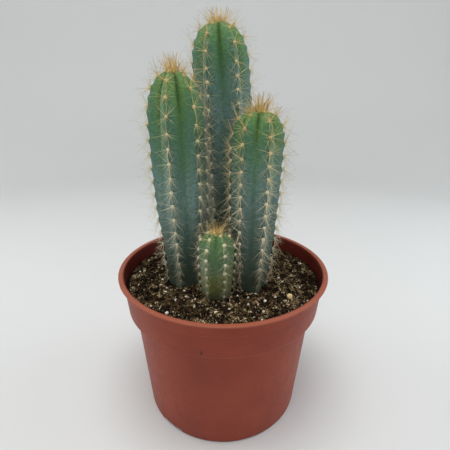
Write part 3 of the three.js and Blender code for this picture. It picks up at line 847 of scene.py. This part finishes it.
def spines_tree():
    """Fans a number of needles out of each areole, and leaves out those that would run into something."""
    takes = {
        "Areoles": "Geometry", "Stems": "Object", "Count": "Int", "Shortest": "Float", "Longest": "Float",
        "Flattest": "Float", "Steepest": "Float", "Uplift": "Float", "Droop": "Float", "Hang": "Float",
        "Root radius": "Float", "Tip share": "Float", "Root depth": "Float", "Ground": "Float",
        "Ceiling": "Float", "Seed": "Int", "Dry spine": "Material",
    }
    tree, put, given = new_tree("areole_spines", takes, "Spines")
    points = put("GeometryNodeMeshToPoints", given["Areoles"])
    fan = put("GeometryNodeDuplicateElements", points, Amount=given["Count"], domain="POINT")
    outward = put(READ, Name="outward", data_type="FLOAT_VECTOR")
    upward = put(READ, Name="upward", data_type="FLOAT_VECTOR")
    size = put(READ, Name="size")
    age = put(READ, Name="age")
    sideward = put(VECTOR_MATH, "CROSS_PRODUCT", upward, outward)

    # Where each needle points: round the areole with some chance in it, evenly on new growth and gathered
    # downwards on old
    seeds = [put(MATH, "ADD", given["Seed"], float(k)) for k in range(4)]
    jitter = put(RANDOM, {2: -0.9, 3: 0.9, 8: seeds[0]})
    number = put(MATH, "ADD", fan.outputs["Duplicate Index"], jitter)
    share = put(MATH, "DIVIDE", number, given["Count"])
    centred = put(MATH, "MULTIPLY_ADD", share, 2.0, -1.0)
    apart = put(MATH, "ABSOLUTE", centred)
    side = put(MATH, "SIGN", centred)
    hang = put(MAP_RANGE, age, 0.15, 0.75, 1.0, given["Hang"])
    gathered = put(MATH, "POWER", apart, hang)
    half_turns = put(MATH, "MULTIPLY", gathered, side)
    turn = put(MATH, "MULTIPLY_ADD", half_turns, math.pi, -math.pi / 2)
    rise = put(RANDOM, {2: given["Flattest"], 3: given["Steepest"], 8: seeds[1]})
    turn_cos = put(MATH, "COSINE", turn)
    turn_sin = put(MATH, "SINE", turn)
    rise_cos = put(MATH, "COSINE", rise)
    rise_sin = put(MATH, "SINE", rise)
    to_side = put(VECTOR_MATH, "SCALE", sideward, Scale=turn_cos)
    to_top = put(VECTOR_MATH, "SCALE", upward, Scale=turn_sin)
    round_it = put(VECTOR_MATH, "ADD", to_side, to_top)
    spread = put(VECTOR_MATH, "SCALE", round_it, Scale=rise_cos)
    stand = put(VECTOR_MATH, "SCALE", outward, Scale=rise_sin)
    young = put(MAP_RANGE, age, 0.0, 0.85, given["Uplift"], given["Droop"])
    lift = put("ShaderNodeCombineXYZ", {2: young})
    aim = put(VECTOR_MATH, "ADD", spread, stand)
    lifted = put(VECTOR_MATH, "ADD", aim, lift)
    way = put(VECTOR_MATH, "NORMALIZE", lifted)
    chance = put(RANDOM, {2: given["Shortest"], 3: given["Longest"], 8: seeds[2]})
    length = put(MATH, "MULTIPLY", chance, size)
    tone = put(RANDOM, {2: 0.0, 3: 1.0, 8: seeds[3]})
    kept = put(STORE, fan, Name="way", Value=way, data_type="FLOAT_VECTOR")
    kept = put(STORE, kept, Name="length", Value=length)
    kept = put(STORE, kept, Name="tone", Value=tone)

    # Left out: a needle whose line meets a stem, or whose tip would be in the mix or over the plant's height
    way = put(READ, Name="way", data_type="FLOAT_VECTOR")
    length = put(READ, Name="length")
    place = put("GeometryNodeInputPosition")
    start = put(VECTOR_MATH, "SCALE", way, Scale=RAY_STARTS * MM)
    clear_start = put(VECTOR_MATH, "ADD", place, start)
    stems = put("GeometryNodeObjectInfo", given["Stems"]).outputs["Geometry"]
    ray = {"Source Position": clear_start, "Ray Direction": way, "Ray Length": length}
    meets = put("GeometryNodeRaycast", stems, ray)
    reach = put(VECTOR_MATH, "SCALE", way, Scale=length)
    tip = put(VECTOR_MATH, "ADD", place, reach)
    tip_height = put("ShaderNodeSeparateXYZ", tip).outputs[2]
    too_low = put("FunctionNodeCompare", "LESS_THAN", tip_height, given["Ground"])
    too_high = put("FunctionNodeCompare", "GREATER_THAN", tip_height, given["Ceiling"])
    out_of_reach = put("FunctionNodeBooleanMath", "OR", too_low, too_high)
    unwanted = put("FunctionNodeBooleanMath", "OR", meets, out_of_reach)
    clear = put("GeometryNodeDeleteGeometry", kept, Selection=unwanted, domain="POINT")

    # One needle is a four-sided point, one unit long, which knows how far along it each corner lies
    tip_share = given["Tip share"]
    needle = put("GeometryNodeMeshCone", Vertices=4, Radius_Top=tip_share, Radius_Bottom=1.0, Depth=1.0)
    along = put("ShaderNodeSeparateXYZ", put("GeometryNodeInputPosition")).outputs[2]
    needle_kept = put(STORE, needle, Name="along", Value=along)
    facing = put("FunctionNodeAlignRotationToVector", Vector=way, axis="Z")
    scale = put("ShaderNodeCombineXYZ", given["Root radius"], given["Root radius"], length)
    sunk = put(MATH, "MULTIPLY", given["Root depth"], -1.0)
    root = put(VECTOR_MATH, "SCALE", way, Scale=sunk)
    rooted = put("GeometryNodeSetPosition", clear, Offset=root)
    set_in = put("GeometryNodeInstanceOnPoints", rooted, Instance=needle_kept, Rotation=facing, Scale=scale)
    end_tree(put, set_in, given["Dry spine"])
    return tree


# Dry spine tissue: hard, slightly glossy and fibrous, golden brown on new growth and pale straw on old, with
# darker tips.
SPINE_BROWN = "#765330"
SPINE_TIP = "#84623a"
facts = ("age", "along", "tone", "dust")
dry_spine, surface, put, age, along, tone, dust = new_material("dry_spine_straw_gold", *facts)
varied = put(MAP_RANGE, tone, 0.0, 1.0, -0.15, 0.15)
years = put(MATH, "ADD", age, varied, use_clamp=True)
bleached = [(0.0, "#e0bd6c"), (0.25, "#dec789"), (0.55, "#e0d2a0"), (1.0, "#efe6c8")]
tint = put("ShaderNodeValToRGB", years, stops=bleached)
brown = put(MAP_RANGE, tone, 0.55, 1.0, 0.0, 0.9)
fading = put(MAP_RANGE, age, 0.0, 1.0, 1.0, 0.25)
at_tip = put(MAP_RANGE, along, 0.6, 1.0, 0.0, 0.55)
layers = [(brown, fading, SPINE_BROWN), (at_tip, 1.0, SPINE_TIP), (dust, 0.7, DUST)]
fill(surface, {"Base Color": overlaid(put, tint, layers), "Roughness": 0.45, "IOR": 1.5})

whole = bmesh.new()
for body in bodies.values():
    whole.from_mesh(body.data)
stems = shown("stems", whole)
make_spines = spines_tree()
HABIT = ("crown", "Count", "Shortest", "Longest", "Flattest", "Steepest", "Uplift", "Radius")
KINDS = {
    "radial_spines": (False, 20, 0.4, 1.45, 4, 45, 0.3, 0.092),
    "central_spines": (False, 3, 0.9, 1.6, 25, 70, 0.7, 0.135),
    "crown_spines": (True, 3, 0.4, 1.5, 32, 86, 0.3, 0.25),
}
for seed, column in enumerate(COLUMNS):
    full = column.spines * MM
    for offset, (kind, values) in enumerate(KINDS.items()):
        habit = dict(zip(HABIT, values))
        sizes = {
            "Stems": stems, "Count": habit["Count"],
            "Shortest": habit["Shortest"] * full, "Longest": habit["Longest"] * full,
            "Flattest": math.radians(habit["Flattest"]), "Steepest": math.radians(habit["Steepest"]),
            "Uplift": habit["Uplift"], "Droop": DROOP, "Hang": HANG,
            "Root radius": habit["Radius"] * column.stout * MM, "Tip share": TIP_SHARE,
            "Root depth": ROOT_DEPTH * MM, "Ground": GROUND * MM, "Ceiling": cad_box[1][2],
            "Seed": SPINE_SEED * (seed + 1) + 10 * offset, "Dry spine": dry_spine,
        }
        name = column.name + "_" + kind
        spines = grown(name, make_spines, areole_points(column, habit["crown"]), sizes)
        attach(spines, "root")
        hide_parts(column.name)
bpy.data.objects.remove(stems)

# The potting mix
# Moist sieved peat with bark, fibres and grains of perlite, poured round the stems to about 11 mm below the
# rim. Its top is lumpy and a little heaped round the small column. Loose crumbs lie all over it.
HEAP_HEIGHT = 3.2
HEAP_REACH = (24.0, 20.0)
LUMPS = ((1.4, 14, 3.1), (1.9, 5, 7.7), (0.7, 2.2, 1.3))
GAP = 0.3
TOP_RINGS = 80
AROUND = 220
TOP_WITHIN = 6
WALL_CLEAR = 1.5
STEM_CLEAR = 0.9
CRUMB_SEED = 300


def mix_height(x, y):
    """The height of the mix's top, in mm."""
    middle = COLUMNS[3].foot
    away = ((x - middle[0]) / HEAP_REACH[0]) ** 2 + ((y - middle[1]) / HEAP_REACH[1]) ** 2
    heap = HEAP_HEIGHT * math.exp(-away)
    large, small, fine = (
        high * noise.noise(Vector((x / wide, y / wide, layer))) for high, wide, layer in LUMPS
    )
    return SOIL_LEVEL + heap + (large + small) + fine


rim_share = (SOIL_LEVEL - COLLAR_BOTTOM - WALL) / (POT_HEIGHT - COLLAR_BOTTOM - WALL)
top_radius = COLLAR_BOTTOM_RADIUS - WALL - GAP + rim_share * (COLLAR_TOP_RADIUS - COLLAR_BOTTOM_RADIUS)
mix_outline = [
    (0, FLOOR_TOP + GAP),
    (BASE_RADIUS - WALL - GAP, FLOOR_TOP + GAP),
    (SHOULDER_RADIUS - WALL - GAP, SHOULDER + WALL / 2),
    (COLLAR_BOTTOM_RADIUS - WALL - GAP, COLLAR_BOTTOM + WALL),
]
mix_outline += [(top_radius * (1 - ring / TOP_RINGS), SOIL_LEVEL) for ring in range(TOP_RINGS + 1)]
mix = turned("potting_mix", mix_outline, AROUND)
for point in mix.data.vertices:
    x, y, z = point.co / MM
    if z > SOIL_LEVEL - 1:
        point.co.z = mix_height(x, y) * MM
mix.data.shade_smooth()


def crumbs_tree():
    """Scatters uneven crumbs over the top of the mix, each with a tone of its own."""
    takes = {
        "Ground": "Geometry", "Density": "Float", "Clumps per metre": "Float", "Brightest": "Float",
        "Smallest": "Float", "Largest": "Float", "Long": "Float", "Ruggedness": "Float", "Facets": "Int",
        "Seed": "Int", "Stuff": "Material",
    }
    tree, put, given = new_tree("loose_crumbs", takes, "Crumbs")
    seeds = [put(MATH, "ADD", given["Seed"], float(k)) for k in range(4)]
    clumps = put(NOISE, Scale=given["Clumps per metre"], Detail=2.0)
    gathered = put(MAP_RANGE, clumps, 0.38, 0.62, 0.25, 1.75)
    density = put(MATH, "MULTIPLY", gathered, given["Density"])
    scatter = put("GeometryNodeDistributePointsOnFaces", given["Ground"], Density=density, Seed=seeds[0])
    chance = put(RANDOM, {2: 0.0, 3: 1.0, 8: seeds[1]})
    rare = put(MATH, "POWER", chance, 2.2)
    size = put(MAP_RANGE, rare, 0.0, 1.0, given["Smallest"], given["Largest"])
    own_tone = put(RANDOM, {2: 0.0, 3: 0.7, 8: seeds[2]})
    patches = put(NOISE, Scale=130.0, Detail=2.0)
    patch_tone = put(MAP_RANGE, patches, 0.4, 0.62, 0.0, 0.45)
    tone_sum = put(MATH, "ADD", own_tone, patch_tone)
    tone = put(MATH, "MULTIPLY", tone_sum, given["Brightest"])
    ends = {0: (-1.6, -1.6, -3.1), 1: (1.6, 1.6, 3.1), 8: seeds[3]}
    turns = put(RANDOM, ends, data_type="FLOAT_VECTOR")
    turned_by = put("FunctionNodeEulerToRotation", turns)
    kept = put(STORE, scatter, Name="tone", Value=tone)
    kept = put(STORE, kept, Name="size", Value=size)
    rings = put(MATH, "MULTIPLY", given["Facets"], 0.5)
    grain = put("GeometryNodeMeshUVSphere", given["Facets"], rings, Radius=0.5)
    long_way = put(MATH, "MULTIPLY", size, given["Long"])
    scale = put("ShaderNodeCombineXYZ", size, long_way, size)
    lying = put("GeometryNodeInstanceOnPoints", kept, Instance=grain, Rotation=turned_by, Scale=scale)
    real = put("GeometryNodeRealizeInstances", lying)
    wander = put(NOISE, Scale=700.0, Detail=1.0).outputs["Color"]
    swing = put(VECTOR_MATH, "SUBTRACT", wander, (0.5, 0.5, 0.5))
    own = put(READ, Name="size")
    much = put(MATH, "MULTIPLY", own, given["Ruggedness"])
    way = put(VECTOR_MATH, "SCALE", swing, Scale=much)
    rugged = put("GeometryNodeSetPosition", real, Offset=way)
    end_tree(put, rugged, given["Stuff"])
    return tree


# Peat, bark and fibre: matt, dark and uneven. Each crumb has a tone between near black and tan, and a coarser
# noise than the real dust of the mix, which is too fine to show. Perlite, swollen by heat, is rough and
# nearly white.
def mix_material(name, stops, tone_share):
    """A stuff in the mix: its colours from dark to pale, and how much each crumb's own tone decides."""
    stuff, surface, put, tone = new_material(name, "tone")
    place = put("ShaderNodeTexCoord").outputs["Object"]
    fine = put(NOISE, Vector=place, Scale=650.0, Detail=5.0, Roughness=0.7)
    spread = put(MAP_RANGE, fine, 0.3, 0.7, 0.0, 1.0)
    blend = put("ShaderNodeMix", tone_share, {2: spread, 3: tone})
    tint = put("ShaderNodeValToRGB", blend, stops=stops)
    bump = put("ShaderNodeBump", Strength=0.8, Distance=0.0006, Height=fine)
    fill(surface, {"Base Color": tint, "Normal": bump, "Roughness": 0.9, "Specular IOR Level": 0.12})
    return stuff


peat = mix_material(
    "moist_peat_sieved",
    [(0.0, "#050201"), (0.36, "#20150b"), (0.58, "#56442b"), (0.78, "#9f8a66"), (1.0, "#efdfba")],
    0.8,
)
bark = mix_material(
    "bark_and_wood_fibre",
    [(0.0, "#3d2a1b"), (0.4, "#7a6043"), (0.75, "#a58c66"), (1.0, "#cdb993")],
    0.75,
)
perlite = mix_material("perlite_expanded", [(0.0, "#b5aa8c"), (0.4, "#e2d9be"), (1.0, "#fffbee")], 0.5)
mix.data.materials.clear()
mix.data.materials.append(peat)
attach(mix, "root")
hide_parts("soil")

# Only the open top takes crumbs: not the sides, and not where a stem stands
ground = bmesh.new()
ground.from_mesh(mix.data)
hidden = []
for patch in ground.faces:
    middle = patch.calc_center_median() / MM
    in_stem = any(
        math.hypot(middle.x - column.foot[0], middle.y - column.foot[1])
        < edge_radius(column, SOIL_LEVEL) * STEM_CLEAR
        for column in COLUMNS
    )
    at_wall = math.hypot(middle.x, middle.y) > top_radius - WALL_CLEAR
    if middle.z < SOIL_LEVEL - TOP_WITHIN or in_stem or at_wall:
        hidden.append(patch)
bmesh.ops.delete(ground, geom=hidden, context="FACES")
open_top = bpy.data.meshes.new("open_top")
ground.to_mesh(open_top)
ground.free()
make_crumbs = crumbs_tree()
STUFF = (
    "Density", "Clumps per metre", "Brightest", "Smallest", "Largest", "Long", "Ruggedness", "Facets",
    "Stuff", "slot",
)
LOOSE = {
    "peat_lumps": (105000.0, 70.0, 0.8, 0.9, 3.5, 1.3, 1.2, 8, peat, "potting_mix"),
    "peat_crumbs": (1000000.0, 110.0, 1.05, 0.35, 1.4, 1.4, 0.7, 4, peat, "potting_mix"),
    "bark_bits": (260000.0, 80.0, 1.0, 0.25, 0.95, 3.0, 0.5, 4, bark, "potting_mix"),
    "perlite_grains": (13000.0, 60.0, 1.0, 0.5, 2.7, 1.2, 0.5, 6, perlite, "perlite"),
}
for seed, (name, values) in enumerate(LOOSE.items()):
    sizes = dict(zip(STUFF, values), Seed=CRUMB_SEED + 10 * seed)
    sizes |= {end: sizes[end] * MM for end in ("Smallest", "Largest")}
    crumbs = grown(name, make_crumbs, open_top.copy(), sizes)
    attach(crumbs, "root")

# One large grain of stained perlite at the front right
# It lies half sunk in the mix: a rounded lump of expanded glass, soaked yellow.
GRAIN_PLACE = (51.0, -33.2)
GRAIN_RADIUS = 2.3
GRAIN_SHOWS = 0.3
lump = bmesh.new()
bmesh.ops.create_icosphere(lump, subdivisions=3, radius=GRAIN_RADIUS)
grain_middle = Vector((*GRAIN_PLACE, mix_height(*GRAIN_PLACE) + GRAIN_RADIUS * GRAIN_SHOWS))
for corner in lump.verts:
    dented = 1 + 0.3 * noise.noise(corner.co * 0.6)
    corner.co = (corner.co * dented + grain_middle) * MM
grain = shown("stained_grain", lump)
grain.data.shade_smooth()
soaked = mix_material("perlite_soaked_yellow", [(0.0, "#dcb06c"), (0.5, "#f8dea4"), (1.0, "#fff0cc")], 0.0)
grain.data.materials.append(soaked)
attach(grain, "root")

# The studio
# A plain pale floor that curves up all round into a low wall, painted matt, far enough out to be behind every
# view, under soft light from above and both sides.
STUDIO_RADIUS = 1250
STUDIO_COVE = 400
STUDIO_WALL = 1200
STUDIO_FACETS = 128
STUDIO_PAINT = "#dee0e0"
turns = [math.pi / 2 * k / 12 for k in range(13)]
cove = [(STUDIO_RADIUS - STUDIO_COVE * (1 - math.sin(a)), STUDIO_COVE * (1 - math.cos(a))) for a in turns]
backdrop = turned("studio_backdrop", [(0, 0), *cove, (STUDIO_RADIUS, STUDIO_WALL)], STUDIO_FACETS)
backdrop.data.shade_smooth()
paint, surface, put = new_material("studio_paint_matt")
fill(surface, {"Base Color": linear(STUDIO_PAINT), "Roughness": 0.6})
backdrop.data.materials.append(paint)
backdrop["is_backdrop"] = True

CAMERA_PLACE = (0.0005, -0.2698, 0.2634)
CAMERA_PITCH = 21.085
CAMERA_YAW = -0.14
CAMERA_ROLL = 0.42
SENSOR_WIDTH = 36.0
LENS = 28.8
NEAREST = 0.01
eye = bpy.data.cameras.new("camera")
eye.sensor_width = SENSOR_WIDTH
eye.lens = LENS
eye.clip_start = NEAREST
camera = shown("camera", eye)
camera.location = CAMERA_PLACE
aimed = Matrix.Rotation(math.radians(CAMERA_YAW), 3, "Z")
aimed @= Matrix.Rotation(math.radians(90 - CAMERA_PITCH), 3, "X")
aimed @= Matrix.Rotation(math.radians(CAMERA_ROLL), 3, "Z")
camera.rotation_euler = aimed.to_euler()
bpy.context.scene.camera = camera

LIGHTS = {  # place, height aimed at, width, watts and colour
    "ceiling_light": ((-0.1, -0.2, 1.4), 0.1, 1.0, 12.8, "#fffdfa"),
    "left_light": ((-0.8, 0.1, 0.6), 0.15, 0.7, 2.1, "#fbfcff"),
    "right_light": ((0.8, 0.1, 0.5), 0.15, 0.7, 2.7, "#f6faff"),
}
for name, (place, aim, width, watts, colour) in LIGHTS.items():
    lamp = bpy.data.lights.new(name, "AREA")
    lamp.shape = "DISK"
    lamp.size = width
    lamp.energy = watts
    lamp.color = linear(colour)[:3]
    holder = shown(name, lamp)
    holder.location = place
    holder.rotation_euler = (Vector((0, 0, aim)) - Vector(place)).to_track_quat("-Z", "Y").to_euler()
ROOM_COLOUR = "#eef2f4"
ROOM_STRENGTH = 0.08
world = bpy.data.worlds.new("soft_room")
world.use_nodes = True
fill(world.node_tree.nodes["Background"], {"Color": linear(ROOM_COLOUR), "Strength": ROOM_STRENGTH})
bpy.context.scene.world = world
bpy.context.scene.view_settings.view_transform = "Standard"

sizes = {"cad": [list(corner) for corner in cad_box], "visual": [list(corner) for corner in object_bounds()]}
